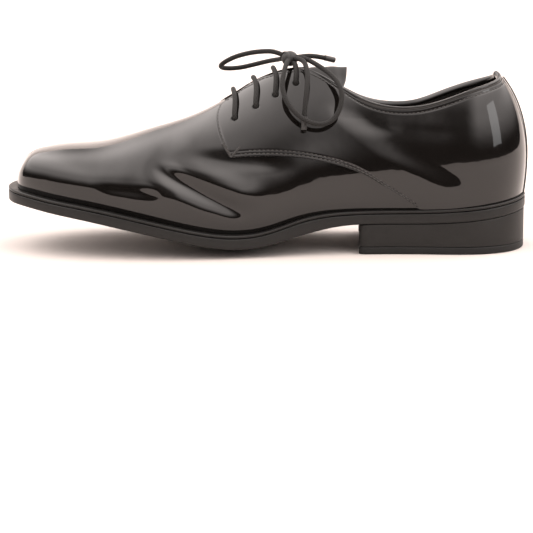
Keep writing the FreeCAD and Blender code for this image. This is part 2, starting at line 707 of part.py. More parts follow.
KNOT = V(12.5, -0.5, 110.8)
KNOT_SIZE = (11.0, 9.4, 10.2)
lacing_route = [KNOT + V(0.5, 1.5, -2.5)] + over(LATERAL, 3)[::-1]
lacing_route += [inside(LATERAL, 3), inside(LATERAL, 2.5, -2.4), inside(LATERAL, 2, -3.4)]
lacing_route += [inside(LATERAL, 1.5, -2.4), inside(LATERAL, 1)] + bar(LATERAL, 1)
lacing_route += [inside(MEDIAL, 1), inside(MEDIAL, 0.5, 0.9), inside(MEDIAL, 0)] + bar(MEDIAL, 0)
lacing_route += [inside(LATERAL, 0), inside(LATERAL, 0.5, 2.4), inside(LATERAL, 1, 3.4)]
lacing_route += [inside(LATERAL, 1.5, 2.4), inside(LATERAL, 2)] + bar(LATERAL, 2)
lacing_route += [inside(MEDIAL, 2), inside(MEDIAL, 2.5, 0.9), inside(MEDIAL, 3)] + over(MEDIAL, 3)
lacing_route += [KNOT + V(0.5, -1.5, -2.5)]

front_loop_route = [(12.5, -0.5, 110.8), (5, 2.5, 114.8), (-4, 6, 114.6), (-13, 10.5, 113), (-22, 16, 109.8),
                    (-29.5, 22, 104.8), (-27.5, 27.5, 102.3), (-18, 29.5, 102.4), (-8, 26.5, 105),
                    (0, 20, 107.6), (6, 12.5, 109.2), (9, 6, 110.4), (11.6, -0.5, 111.2)]
side_loop_route = [(12.5, -0.5, 110.8), (10.8, -9, 110), (8.6, -18.5, 104), (7.5, -26, 95.8),
                   (11, -31.5, 86.8), (19.5, -35.8, 78.8), (30, -36.5, 75.5), (38, -34, 79), (42, -31, 87.5),
                   (42, -27.8, 95.6),
                   (37.5, -20.5, 102.4), (28.5, -10.5, 108), (19.5, -2, 112.2), (12.5, -0.5, 111.6)]
back_end_route = [(12.5, -0.5, 110.8), (20.5, 4, 112), (29, 9.5, 111.4), (39, 15, 108.6)]
hanging_end_route = [(12.5, -0.5, 110.8), (19.8, -7.6, 112.2), (22.8, -18.5, 105), (22, -26.2, 95.4),
                     (20.8, -30.2, 86), (20.3, -33, 73)]


def knot():
    """A squared barrel with one turn of the lace round its middle."""
    size_x, size_y, size_z = KNOT_SIZE
    core = Part.makeBox(size_x, size_y, size_z, KNOT - V(size_x, size_y, size_z) * 0.5)
    core = core.makeFillet(2.6, core.Edges)
    turn = Part.makeTorus(size_y / 2 - 0.4, LACE_RADIUS, KNOT - V(1.0, 0, 0), V(1, 0, 0))
    return core.fuse(turn).removeSplitter()


knot_solid = knot()
keep("lace_knot", knot_solid)
lacing = tube("lace through eyelets", rounded(lacing_route), LACE_RADIUS)
keep("lace_through_eyelets", lacing.cut(knot_solid))
keep("lace_loop_front", tube("front loop", front_loop_route, LACE_RADIUS).cut(knot_solid))
keep("lace_loop_side", tube("side loop", side_loop_route, LACE_RADIUS).cut(knot_solid))


def tipped_end(name, route):
    """A free end of the lace and the thin sleeve crimped on its tip."""
    lace = tube(name, route, LACE_RADIUS)
    keep(f"lace_{name}", lace.cut(knot_solid))
    a, b = V(*route[-2]), V(*route[-1])
    direction = b - a
    direction.normalize()
    foot = b - direction * (0.55 * (b - a).Length)
    length = (b - foot).Length + 0.3
    sleeve = Part.makeCylinder(LACE_RADIUS + AGLET_WALL, length, foot, direction)
    keep(f"aglet_{name}", sleeve.cut(Part.makeCylinder(LACE_RADIUS + 0.02, length - 0.3, foot, direction)))


tipped_end("end_back", back_end_route)
tipped_end("end_hanging", hanging_end_route)

os.makedirs("parts", exist_ok=True)
for name, shape in PARTS.items():
    shape.exportStep(f"parts/{name}.step")
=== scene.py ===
import math

import bmesh
import bpy
import numpy as np
from mathutils import Matrix, Vector


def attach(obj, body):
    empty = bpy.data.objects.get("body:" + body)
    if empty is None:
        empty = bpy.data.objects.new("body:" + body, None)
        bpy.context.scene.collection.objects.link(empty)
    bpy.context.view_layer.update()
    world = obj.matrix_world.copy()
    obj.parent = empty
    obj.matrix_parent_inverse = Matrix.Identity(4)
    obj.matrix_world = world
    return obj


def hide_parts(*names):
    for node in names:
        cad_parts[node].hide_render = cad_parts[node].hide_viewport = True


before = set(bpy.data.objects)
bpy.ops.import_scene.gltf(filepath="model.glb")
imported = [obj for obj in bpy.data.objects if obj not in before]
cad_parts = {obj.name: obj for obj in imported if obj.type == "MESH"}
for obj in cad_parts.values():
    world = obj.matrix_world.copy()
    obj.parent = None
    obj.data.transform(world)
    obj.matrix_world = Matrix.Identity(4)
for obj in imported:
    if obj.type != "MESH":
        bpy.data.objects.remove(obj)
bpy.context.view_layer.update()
MM = 0.001

# ---- Camera, floor and lights -------------------------------------------------------------------
# A pale sweep of paper under the shoe and one soft window beside the heel. The studio is dark at
# the horizon and bright above, which draws the long reflections on the leather. The camera looks
# at the inner side from just above.
SHOE_MIDDLE = Vector((0.0, 0.0, 0.0577))
CAMERA_DISTANCE = 1.0
CAMERA_ELEVATION = math.radians(8.0)
ROOM_GAIN, ROOM_DARKEST = 40.0, 0.7


def new_material(name):
    """A material with its nodes, its links and its shader."""
    material = bpy.data.materials.new(name)
    material.use_nodes = True
    nodes = material.node_tree.nodes
    return material, nodes, material.node_tree.links, nodes["Principled BSDF"]


camera = bpy.data.objects.new("camera", bpy.data.cameras.new("camera"))
bpy.context.scene.collection.objects.link(camera)
camera.location = SHOE_MIDDLE + CAMERA_DISTANCE * Vector(
    (-0.0012, -math.cos(CAMERA_ELEVATION), math.sin(CAMERA_ELEVATION)))
camera.rotation_euler = (math.pi / 2 - CAMERA_ELEVATION, 0, 0)
camera.data.sensor_width = 36
camera.data.lens = 113.9
camera.data.shift_y = -0.2227
bpy.context.scene.camera = camera

sweep = bmesh.new()
bmesh.ops.create_grid(sweep, x_segments=2, y_segments=60, size=3.0)
for vert in sweep.verts:
    behind = max(vert.co.y - 1.2, 0.0)
    vert.co.z = 0.45 * behind ** 2
floor_mesh = bpy.data.meshes.new("floor")
sweep.to_mesh(floor_mesh)
sweep.free()
floor = bpy.data.objects.new("floor", floor_mesh)
bpy.context.scene.collection.objects.link(floor)
for face in floor_mesh.polygons:
    face.use_smooth = True
paper, _, _, shader = new_material("pale_paper")
shader.inputs["Base Color"].default_value = (0.66, 0.61, 0.58, 1)
shader.inputs["Roughness"].default_value = 0.9
floor_mesh.materials.append(paper)

window = bpy.data.objects.new("rear_window", bpy.data.lights.new("rear_window", "AREA"))
bpy.context.scene.collection.objects.link(window)
window.location = (0.95, -0.6, 0.42)
window.rotation_euler = (Vector((0.1, 0.0, 0.06)) - window.location).to_track_quat("-Z", "Y").to_euler()
window.data.shape = "RECTANGLE"
window.data.size, window.data.size_y, window.data.energy = 0.34, 0.5, 1.2

world = bpy.data.worlds.new("studio")
bpy.context.scene.world = world
world.use_nodes = True
room, room_links = world.node_tree.nodes, world.node_tree.links
way = room.new("ShaderNodeTexCoord")
parts = room.new("ShaderNodeSeparateXYZ")
room_links.new(way.outputs["Generated"], parts.inputs["Vector"])
sideways = room.new("ShaderNodeMath")
sideways.operation = "ABSOLUTE"
room_links.new(parts.outputs["X"], sideways.inputs[0])
shares = []
for source, low, high, least, most in ((parts.outputs["Z"], 0.07, 0.45, 0.0, 0.8),
                                       (sideways.outputs[0], 0.06, 0.40, 0.1, 1.3),
                                       (parts.outputs["Z"], 0.45, 0.92, 0.0, 0.9)):
    ramp = room.new("ShaderNodeMapRange")
    ramp.interpolation_type = "SMOOTHSTEP"
    for socket, number in (("From Min", low), ("From Max", high), ("To Min", least), ("To Max", most)):
        ramp.inputs[socket].default_value = number
    room_links.new(source, ramp.inputs["Value"])
    shares.append(ramp.outputs["Result"])
walls = room.new("ShaderNodeMath")
walls.operation = "MULTIPLY"
room_links.new(shares[0], walls.inputs[0])
room_links.new(shares[1], walls.inputs[1])
ceiling = room.new("ShaderNodeMath")
ceiling.operation = "ADD"
room_links.new(walls.outputs[0], ceiling.inputs[0])
room_links.new(shares[2], ceiling.inputs[1])
level = room.new("ShaderNodeMath")
level.operation = "MULTIPLY_ADD"
level.inputs[1].default_value = ROOM_GAIN
level.inputs[2].default_value = ROOM_DARKEST
room_links.new(ceiling.outputs[0], level.inputs[0])
room["Background"].inputs["Color"].default_value = (0.054, 0.0498, 0.048, 1)
room_links.new(level.outputs[0], room["Background"].inputs["Strength"])
bpy.context.scene.view_settings.view_transform = "Standard"

# ---- Outsole ------------------------------------------------------------------------------------
# One moulded rubber unit from toe to heel seat, satin black, about 7 mm thick at its edge, with a
# gently crowned tread and a fine groove under the welt. It is glued to the welt and the heel.
LAST_TOE_X, LAST_BACK_X = -145.0, 148.0
LAST_MIDDLE_X = (LAST_TOE_X + LAST_BACK_X) / 2
LAST_HALF_LENGTH = (LAST_BACK_X - LAST_TOE_X) / 2
BALL_HALF_WIDTH, HEEL_HALF_WIDTH = 43.2, 29.5
TOE_TIP_Y = -5.0
VAMP_OUT = 2.94
WELT_THICK = 2.0
TREAD_CROWN = 6.4


def spline(points):
    xs, ys = np.array(points, float).T
    count, steps = len(xs), np.diff(xs)
    system, right = np.eye(count), np.zeros(count)
    for i in range(1, count - 1):
        system[i, i - 1:i + 2] = steps[i - 1], 2 * (steps[i - 1] + steps[i]), steps[i]
        right[i] = 6 * ((ys[i + 1] - ys[i]) / steps[i] - (ys[i] - ys[i - 1]) / steps[i - 1])
    bend = np.linalg.solve(system, right)

    def value(x):
        x = np.clip(x, xs[0], xs[-1])
        i = np.clip(np.searchsorted(xs, x) - 1, 0, count - 2)
        h, a, b = steps[i], xs[i + 1] - x, x - xs[i]
        straight = (ys[i] * a + ys[i + 1] * b) / h
        return straight + (bend[i] * (a ** 3 / h - a * h) + bend[i + 1] * (b ** 3 / h - b * h)) / 6

    return value


def smooth(x, low, high):
    s = np.clip((x - low) / (high - low), 0.0, 1.0)
    return s * s * (3 - 2 * s)


def mix(a, b, s):
    return a + (b - a) * s


lateral_share = spline([(0, 0), (0.05, 0.25), (0.10, 0.455), (0.15, 0.63), (0.2, 0.77), (0.3, 0.945),
                        (0.4, 1), (0.5, 0.955), (0.6, 0.80), (0.7, 0.71), (0.8, 0.68), (0.9, 0.43), (1, 0)])
medial_share = spline([(0, 0), (0.05, 0.28), (0.10, 0.505), (0.15, 0.68), (0.2, 0.81), (0.3, 0.96),
                       (0.38, 1), (0.5, 0.83), (0.6, 0.655), (0.7, 0.65), (0.8, 0.68), (0.9, 0.43), (1, 0)])
sole_top = spline([(-160, 38.2), (-150, 36.8), (-140, 35.5), (-128.5, 33.7), (-106, 30.3), (-83, 25.8),
                   (-60, 20.6), (-40, 16.2), (-20, 13.7), (0, 15.8), (19, 21.7), (48, 25.3), (90, 26.0),
                   (113, 27.3), (137, 29.9), (153, 32.3), (162, 33.8)])
sole_edge = spline([(0, 5.3), (0.45, 4.7), (0.6, 3.6), (0.8, 2.0), (1, 1.3)])
edge_thick = spline([(-160, 6.7), (-130, 6.8), (-106, 7.3), (-80, 7.8), (-50, 7.6), (-20, 7.2), (0, 6.8),
                     (22, 8.1), (45, 8.0), (90, 8.0), (162, 8.0)])


def half_width(side, u):
    share = np.where(side > 0, lateral_share(u), medial_share(u))
    width = mix(BALL_HALF_WIDTH, HEEL_HALF_WIDTH / 0.68, smooth(u, 0.55, 0.8)) * share
    return side * width + TOE_TIP_Y * (1 - smooth(u, 0.0, 0.16))


def outline(side, u, level):
    """Plan position of the feather line at a station, level millimetres outside the last."""
    step = 1e-4
    low, high = np.maximum(u - step, 0.0), np.minimum(u + step, 1.0)
    dx = LAST_HALF_LENGTH * (np.cos(np.pi * low) - np.cos(np.pi * high))
    dx = np.where((u < step) | (u > 1 - step), 0.0, dx)
    dy = half_width(side, high) - half_width(side, low)
    size = np.hypot(dx, dy)
    x = LAST_MIDDLE_X - LAST_HALF_LENGTH * np.cos(np.pi * u)
    return x - level * side * dy / size, half_width(side, u) + level * side * dx / size


def tread(x, y):
    crown = TREAD_CROWN * (1 - smooth(x, -5, 48)) * (1 - 0.75 * smooth(-x, 60, 150))
    return sole_top(x) - edge_thick(x) - crown * np.maximum(1 - (y / (BALL_HALF_WIDTH + 8)) ** 2, 0)


def all_round(angle):
    """Side and station of a place round the shoe, from an angle that starts at the toe."""
    turn = np.mod(angle, 2 * np.pi) / np.pi
    return np.where(turn <= 1, 1.0, -1.0), np.where(turn <= 1, turn, 2 - turn)


def finished(name, mesh_form, nodes, materials, body="shoe"):
    """Makes a piece of a bmesh, with its faces outwards, and ties it to the frame."""
    mesh = bpy.data.meshes.new(name)
    mesh_form.to_mesh(mesh)
    mesh_form.free()
    mesh.polygons.foreach_set("use_smooth", [True] * len(mesh.polygons))
    for material in materials:
        mesh.materials.append(material)
    piece = bpy.data.objects.new(name, mesh)
    bpy.context.scene.collection.objects.link(piece)
    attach(piece, body)
    if nodes:
        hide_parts(*nodes)
    return piece


def ringed(name, sections, segments, nodes, materials, closed):
    """A body lofted through rings. Each section turns the rings' angles into places in millimetres."""
    form = bmesh.new()
    rings = []
    for section in sections:
        verts = bmesh.ops.create_circle(form, cap_ends=False, segments=segments, radius=1.0)["verts"]
        angles = np.array([math.atan2(vert.co.y, vert.co.x) for vert in verts])
        for vert, spot in zip(verts, np.stack(np.broadcast_arrays(*section(angles)), -1) * MM):
            vert.co = spot
        rings.append(list({edge for vert in verts for edge in vert.link_edges}))
    for first, second in zip(rings, rings[1:] + (rings[:1] if closed else [])):
        bmesh.ops.bridge_loops(form, edges=first + second)
    bmesh.ops.remove_doubles(form, verts=form.verts, dist=2e-6)
    bmesh.ops.recalc_face_normals(form, faces=form.faces)
    return finished(name, form, nodes, materials)


def mottle(nodes, links, noise, tone, low, high):
    """Base colour: a tone that a noise scales between low and high."""
    tint = nodes.new("ShaderNodeMapRange")
    tint.inputs["To Min"].default_value = low
    tint.inputs["To Max"].default_value = high
    links.new(noise.outputs["Fac"], tint.inputs["Value"])
    colour = nodes.new("ShaderNodeVectorMath")
    colour.operation = "SCALE"
    colour.inputs[0].default_value = tone
    links.new(tint.outputs["Result"], colour.inputs["Scale"])
    links.new(colour.outputs["Vector"], nodes["Principled BSDF"].inputs["Base Color"])


def rubber(name, tone, rough, grain):
    """Moulded rubber: dark, satin, with a fine matt grain and faint scuffs."""
    material, nodes, links, shader = new_material(name)
    shader.inputs["Specular IOR Level"].default_value = 0.28
    place = nodes.new("ShaderNodeTexCoord")
    scuff = nodes.new("ShaderNodeTexNoise")
    scuff.inputs["Scale"].default_value = 90.0
    scuff.inputs["Detail"].default_value = 5.0
    links.new(place.outputs["Object"], scuff.inputs["Vector"])
    mottle(nodes, links, scuff, tone, 0.75, 1.35)
    gloss = nodes.new("ShaderNodeMapRange")
    gloss.inputs["To Min"].default_value = rough - 0.08
    gloss.inputs["To Max"].default_value = rough + 0.10
    links.new(scuff.outputs["Fac"], gloss.inputs["Value"])
    links.new(gloss.outputs["Result"], shader.inputs["Roughness"])
    fine = nodes.new("ShaderNodeTexNoise")
    fine.inputs["Scale"].default_value = 1400.0
    fine.inputs["Detail"].default_value = 2.0
    links.new(place.outputs["Object"], fine.inputs["Vector"])
    bump = nodes.new("ShaderNodeBump")
    bump.inputs["Strength"].default_value = grain
    bump.inputs["Distance"].default_value = 0.12 * MM
    links.new(fine.outputs["Fac"], bump.inputs["Height"])
    links.new(bump.outputs["Normal"], shader.inputs["Normal"])
    return material


SPINE_ENDS = (-112.0, 118.0)


def sole_section(inwards, share, height):
    """A ring at a distance in from the sole's edge, drawn in to a share of its width there."""
    def section(angles):
        side, u = all_round(angles)
        x, y = outline(side, u, VAMP_OUT + sole_edge(u) - inwards)
        middle_x = np.clip(x, *SPINE_ENDS)
        x, y = mix(middle_x, x, share), y * share
        return x, y, height(x, y)
    return section


def below_top(depth):
    return lambda x, y: sole_top(x) - depth


sole_rubber = rubber("sole_rubber", (0.012, 0.0115, 0.011), 0.42, 0.5)
outsole_sections = [sole_section(0.8, share, below_top(WELT_THICK + 0.05)) for share in (0.0, 0.5, 0.9, 1.0)]
outsole_sections += [sole_section(inwards, 1.0, below_top(WELT_THICK + drop))
                     for inwards, drop in ((0.55, 0.1), (0.25, 0.22), (0.06, 0.5), (0.0, 0.9))]
outsole_sections += [sole_section(inwards, 1.0, lambda x, y, lift=lift: tread(x, y) + lift)
                     for inwards, lift in ((0.0, 1.3), (0.12, 0.6), (0.45, 0.18), (1.1, 0.0))]
outsole_sections += [sole_section(1.1, share, tread)
                     for share in (0.96, 0.88, 0.78, 0.65, 0.5, 0.33, 0.16, 0.0)]
ringed("outsole_moulding", outsole_sections, 260, ["outsole"], [sole_rubber], False)

# ---- Welt ---------------------------------------------------------------------------------------
# A narrow rubber strip round the upper's foot, between the upper and the outsole. Its outer edge
# is a rounded bead, and a fine groove parts the bead from the sole.
WELT_INNER_LEVEL = -3.0


def welt_section(inwards, depth):
    return sole_section(inwards, 1.0, below_top(depth))


def welt_inner(depth):
    def section(angles):
        side, u = all_round(angles)
        x, y = outline(side, u, WELT_INNER_LEVEL)
        return x, y, sole_top(x) - depth
    return section


welt_rubber = rubber("welt_rubber", (0.010, 0.0095, 0.009), 0.34, 0.3)
welt_sections = [welt_inner(0.0)] + [welt_section(inwards, depth) for inwards, depth in (
    (3.0, 0.0), (1.1, 0.02), (0.55, 0.1), (0.2, 0.32), (0.02, 0.7), (0.03, 1.1), (0.22, 1.45), (0.55, 1.7),
    (0.85, 1.85), (0.95, 1.96))] + [welt_inner(1.96)]
ringed("welt_bead", welt_sections, 300, ["welt"], [welt_rubber], True)

# ---- Heel ---------------------------------------------------------------------------------------
# A block of black rubber under the outsole with a hollow front, and a top piece that wears on the
# ground. Both have slightly rounded edges, and their joint shows as a fine line.
HEEL_BREAST_X, HEEL_BREAST_HOLLOW, HEEL_BREAST_SKEW, HEEL_INSET = 52.3, 6.0, 10.0, 0.5
TOP_PIECE_THICK = 4.4
HEEL_MIDDLE_X, HEEL_START = 96.0, 0.62
BREAST_RADIUS = 150.0
BACK_SHARE = 0.78          # of a ring's turn that follows the sole's edge; the rest is the breast


def breast_x(y, inwards):
    hollow = np.sqrt(BREAST_RADIUS ** 2 - (y - HEEL_BREAST_SKEW) ** 2)
    return HEEL_BREAST_X + HEEL_BREAST_HOLLOW + inwards - BREAST_RADIUS + hollow


def heel_section(inwards, share, height):
    """A ring round the heel: round the back along the sole's edge, then across the breast."""
    def edge(side, u):
        return outline(side, u, VAMP_OUT + sole_edge(u) - HEEL_INSET - inwards)

    def section(angles):
        turn = np.mod(angles, 2 * np.pi) / (2 * np.pi)
        tried = np.linspace(HEEL_START, 1.0, 1200)
        front, corner = {}, {}
        for side in (1.0, -1.0):
            x, y = edge(side, tried)
            front[side] = tried[np.argmax(x > breast_x(y, inwards))]
            corner[side] = float(edge(side, front[side])[1])
        way = np.clip(turn / BACK_SHARE, 0.0, 1.0)
        side = np.where(way < 0.5, 1.0, -1.0)
        u = mix(np.where(side > 0, front[1.0], front[-1.0]), 1.0, 1 - np.abs(2 * way - 1))
        across = mix(corner[-1.0], corner[1.0], np.clip((turn - BACK_SHARE) / (1 - BACK_SHARE), 0, 1))
        x, y = edge(side, u)
        x = np.where(turn > BACK_SHARE, breast_x(across, inwards), x)
        y = np.where(turn > BACK_SHARE, across, y)
        x, y = mix(HEEL_MIDDLE_X, x, share), y * share
        return x, y, height(x, y)

    return section


def level_at(z):
    return lambda x, y: z + 0 * x


def under_tread(drop):
    return lambda x, y: tread(x, y) - drop


heel_rubber = rubber("heel_rubber", (0.013, 0.0122, 0.0115), 0.46, 0.6)
base = TOP_PIECE_THICK + 0.05
heel_sections = [heel_section(0.7, share, level_at(base)) for share in (0.0, 0.5)]
heel_sections += [heel_section(inwards, 1.0, level_at(base + lift))
                  for inwards, lift in ((0.7, 0.0), (0.3, 0.08), (0.08, 0.3), (0.0, 0.65))]
heel_sections += [heel_section(inwards, 1.0, under_tread(drop))
                  for inwards, drop in ((0.0, 1.0), (0.08, 0.5), (0.35, 0.22), (0.8, 0.12))]
heel_sections += [heel_section(0.8, share, under_tread(0.12)) for share in (0.6, 0.0)]
ringed("heel_stack", heel_sections, 240, ["heel_block"], [heel_rubber], False)

top_piece_rubber = rubber("top_piece_rubber", (0.010, 0.0098, 0.0095), 0.52, 0.8)
lift_sections = [heel_section(1.0, share, level_at(0.0)) for share in (0.0, 0.5)]
lift_sections += [heel_section(inwards, 1.0, level_at(z)) for inwards, z in (
    (1.0, 0.0), (0.4, 0.12), (0.1, 0.45), (0.0, 0.9), (0.0, 3.7), (0.1, 4.1), (0.35, 4.34), (0.7, 4.4))]
lift_sections += [heel_section(0.7, share, level_at(TOP_PIECE_THICK)) for share in (0.5, 0.0)]
ringed("heel_lift", lift_sections, 240, ["heel_top_piece"], [top_piece_rubber], False)

# ---- Vamp ---------------------------------------------------------------------------------------
# The front of the upper, one piece of patent calf pulled over the last and lasted in under its
# foot. Wear has left a diagonal fold and a soft bulge over the joint of the big toe.
FEATHER_ANGLE = 0.28
FAN_START_X, FAN_REACH = 95.0, 20.0
SEAT_GAP = 0.15
LEATHER_THICK = 1.2
ridge_y = spline([(0, TOE_TIP_Y), (0.15, TOE_TIP_Y / 2), (0.3, TOE_TIP_Y / 5), (0.5, TOE_TIP_Y / 4),
                  (0.6, TOE_TIP_Y / 5), (0.75, 0.0), (1, 0.0)])
ridge_z = spline([(0, 38.4), (0.05, 45.0), (0.093, 52.0), (0.14, 55.4), (0.2, 57.4), (0.267, 59.2),
                  (0.343, 67.2), (0.41, 76.8), (0.472, 92.3), (0.511, 100.8), (0.56, 105.0), (0.61, 105.2),
                  (0.71, 108.0), (0.84, 110.6), (1, 108.6)])
widest_rise = spline([(0, 0), (0.05, 3.0), (0.1, 5.5), (0.2, 8.5), (0.4, 12), (0.6, 14), (0.8, 18), (1, 22)])
pinch = spline([(0, -0.12), (0.1, -0.30), (0.2, -0.28), (0.34, -0.06), (0.42, 0.10), (0.5, 0.30),
                (0.56, 0.32), (0.66, 0.10), (0.8, 0.0), (1, 0.0)])


def last_point(side, u, t, level):
    """A place on the upper: side, station u, angle t up the wall and level outwards."""
    fx, fy = outline(side, u, level)
    fan = FAN_START_X + FAN_REACH * np.tanh((fx - FAN_START_X) / FAN_REACH)
    cx, cy = np.where(fx > FAN_START_X, fan, fx), ridge_y(u)
    floor = sole_top(fx) + SEAT_GAP
    rise = widest_rise(u)
    up = floor + rise + (ridge_z(u) + level - floor - rise) * smooth(u, 0, 0.02) * np.sin(t)
    under = floor + rise * (1 - np.sin(-t) / math.sin(FEATHER_ANGLE))
    reach = np.cos(t) * np.where(t >= 0, 1 - pinch(u) * np.sin(t) ** 2, 1.0) / math.cos(FEATHER_ANGLE)
    return np.stack(np.broadcast_arrays(cx + (fx - cx) * reach, cy + (fy - cy) * reach,
                                        np.where(t >= 0, up, under)), -1)


def wall_angle(u, z, level):
    floor = sole_top(LAST_MIDDLE_X - LAST_HALF_LENGTH * np.cos(np.pi * u)) + SEAT_GAP
    rise = widest_rise(u)
    below = np.clip((1 - (z - floor) / rise) * math.sin(FEATHER_ANGLE), 0.0, math.sin(FEATHER_ANGLE))
    above = np.clip((z - floor - rise) / (ridge_z(u) + level - floor - rise), 0.0, 0.9999)
    return np.where(z < floor + rise, -np.arcsin(below), np.arcsin(above))


def locate(side, x, z, level=VAMP_OUT):
    """(u, t) of a point seen from the side at (x, z). A z of None is the feather line."""
    u = math.acos(min(max((LAST_MIDDLE_X - x) / LAST_HALF_LENGTH, -1.0), 1.0)) / math.pi
    for _ in range(40):
        t = -FEATHER_ANGLE if z is None else float(wall_angle(u, z, level))
        miss = x - last_point(side, u, t, level)[0]
        u = min(max(u + miss / (math.pi * LAST_HALF_LENGTH * max(math.sin(math.pi * u), 0.2)), 0.0), 1.0)
    return u, t


def curve_on_last(side, points, level=VAMP_OUT):
    found = [p[1:] if p[0] == "at" else locate(side, p[0], p[1], level) for p in points]
    seen = np.array([last_point(side, u, t, level) for u, t in found])
    along = np.concatenate([[0.0], np.cumsum(np.linalg.norm(np.diff(seen, axis=0), axis=1))])
    us = spline(list(zip(along / along[-1], [f[0] for f in found])))
    ts = spline(list(zip(along / along[-1], [f[1] for f in found])))
    return lambda p: (np.clip(us(p), 0.0, 1.0), np.clip(ts(p), -FEATHER_ANGLE, math.pi / 2))


def rear_edge(points, centre_x):
    found = [(0.0, math.acos((LAST_MIDDLE_X - centre_x) / LAST_HALF_LENGTH) / math.pi)]
    for side in (1, -1):
        for x, z in points:
            u, t = locate(side, x, z)
            found.append((side * (math.pi / 2 - t) / (math.pi / 2 + FEATHER_ANGLE), u))
    return spline(sorted(found))


def spread(form, place):
    """Lays a grid's vertices at place(p, q) in millimetres, with p and q from 0 to 1."""
    flat = np.array([vert.co[:2] for vert in form.verts])
    flat = (flat - flat.min(0)) / np.ptp(flat, axis=0)
    for vert, spot in zip(form.verts, place(flat[:, 0], flat[:, 1]) * MM):
        vert.co = spot


def face_outwards(form):
    form.normal_update()
    bmesh.ops.recalc_face_normals(form, faces=form.faces)
    facing = 0.0
    for face in form.faces:
        centre = face.calc_center_median()
        out = centre - Vector((min(max(centre.x, -0.1), 0.1), 0.0, 0.05))
        facing += face.normal.dot(out) * face.calc_area()
    if facing < 0:
        bmesh.ops.reverse_faces(form, faces=form.faces)


def give_thickness(piece, thick, edge=0.32):
    solid = piece.modifiers.new("thickness", "SOLIDIFY")
    solid.thickness = thick * MM
    solid.offset = -1.0
    solid.use_even_offset = True
    if edge:
        round_edge = piece.modifiers.new("rounded_edge", "BEVEL")
        round_edge.width = edge * MM
        round_edge.segments = 2
        round_edge.limit_method = "ANGLE"
        round_edge.angle_limit = math.radians(60)
    return piece


def patent_leather(name="patent_leather", tone=(0.0045, 0.0038, 0.0034), rough=0.09, ripple=0.16):
    """Near-black calf under a thick clear coat, with a faint ripple, pores and hairline scuffs."""
    material, nodes, links, shader = new_material(name)
    shader.inputs["Specular IOR Level"].default_value = 0.12
    shader.inputs["Coat Weight"].default_value = 0.9
    shader.inputs["Coat Roughness"].default_value = 0.03
    place = nodes.new("ShaderNodeTexCoord")
    cloud = nodes.new("ShaderNodeTexNoise")
    cloud.inputs["Scale"].default_value = 38.0
    cloud.inputs["Detail"].default_value = 4.0
    links.new(place.outputs["Object"], cloud.inputs["Vector"])
    mottle(nodes, links, cloud, tone, 0.7, 1.5)
    scratch_place = nodes.new("ShaderNodeMapping")
    scratch_place.inputs["Rotation"].default_value = (0.3, 0.5, 0.4)
    scratch_place.inputs["Scale"].default_value = (40, 900, 900)
    links.new(place.outputs["Object"], scratch_place.inputs["Vector"])
    scratch = nodes.new("ShaderNodeTexNoise")
    scratch.inputs["Scale"].default_value = 1.0
    scratch.inputs["Detail"].default_value = 3.0
    links.new(scratch_place.outputs["Vector"], scratch.inputs["Vector"])
    marks = nodes.new("ShaderNodeMapRange")
    marks.inputs["From Min"].default_value = 0.62
    marks.inputs["From Max"].default_value = 0.8
    marks.inputs["To Min"].default_value = rough
    marks.inputs["To Max"].default_value = rough + 0.16
    links.new(scratch.outputs["Fac"], marks.inputs["Value"])
    links.new(marks.outputs["Result"], shader.inputs["Roughness"])
    swell = nodes.new("ShaderNodeTexNoise")
    swell.inputs["Scale"].default_value = 120.0
    swell.inputs["Detail"].default_value = 1.0
    links.new(place.outputs["Object"], swell.inputs["Vector"])
    pores = nodes.new("ShaderNodeTexVoronoi")
    pores.inputs["Scale"].default_value = 1500.0
    links.new(place.outputs["Object"], pores.inputs["Vector"])
    wide = nodes.new("ShaderNodeBump")
    wide.inputs["Strength"].default_value = ripple
    wide.inputs["Distance"].default_value = 0.35 * MM
    links.new(swell.outputs["Fac"], wide.inputs["Height"])
    fine = nodes.new("ShaderNodeBump")
    fine.inputs["Strength"].default_value = 0.03
    fine.inputs["Distance"].default_value = 0.05 * MM
    links.new(pores.outputs["Distance"], fine.inputs["Height"])
    links.new(wide.outputs["Normal"], fine.inputs["Normal"])
    links.new(fine.outputs["Normal"], shader.inputs["Normal"])
    links.new(wide.outputs["Normal"], shader.inputs["Coat Normal"])
    return material


def valley(x, z, a, b, width):
    """1 along the line from a to b, falling off to the sides and towards its ends."""
    dx, dz = b[0] - a[0], b[1] - a[1]
    size = math.hypot(dx, dz)
    along = ((x - a[0]) * dx + (z - a[1]) * dz) / size
    off = ((x - a[0]) * dz - (z - a[1]) * dx) / size
    ends = smooth(along, -0.18 * size, 0.18 * size) * (1 - smooth(along, 0.80 * size, 1.12 * size))
    return np.exp(-(off / width) ** 2) * ends


def vamp_relief(side, spot):
    """Millimetres that wear has pushed the leather out or in, by where it is seen from the side."""
    x, z = spot[..., 0], spot[..., 2]
    fold = -2.1 * valley(x, z, (-62, 51), (-15, 25), 4.2)
    fold += 1.5 * valley(x, z, (-54, 57), (-6, 33), 6.5)
    fold += 0.8 * valley(x, z, (-70, 45), (-30, 21), 5.5)
    fold -= 1.1 * valley(x, z, (-56, 58), (10, 53), 4.2)
    fold += 0.6 * valley(x, z, (-50, 65), (-12, 63), 5.0)
    fold -= 0.6 * valley(x, z, (-96, 40), (-56, 37), 4.5)
    soft = 0.10 * np.sin(x * 0.12 + z * 0.09) * np.sin(z * 0.16 - x * 0.05) * smooth(x, -95, -60)
    return np.where(side < 0, fold, 0.12 * fold) + soft


vamp_rear = rear_edge([(98, None), (80, 41.5), (60, 55.5), (38, 62.5), (16, 66), (-8, 67.5), (-20.5, 72),
                       (-25.5, 78.5)], -26)


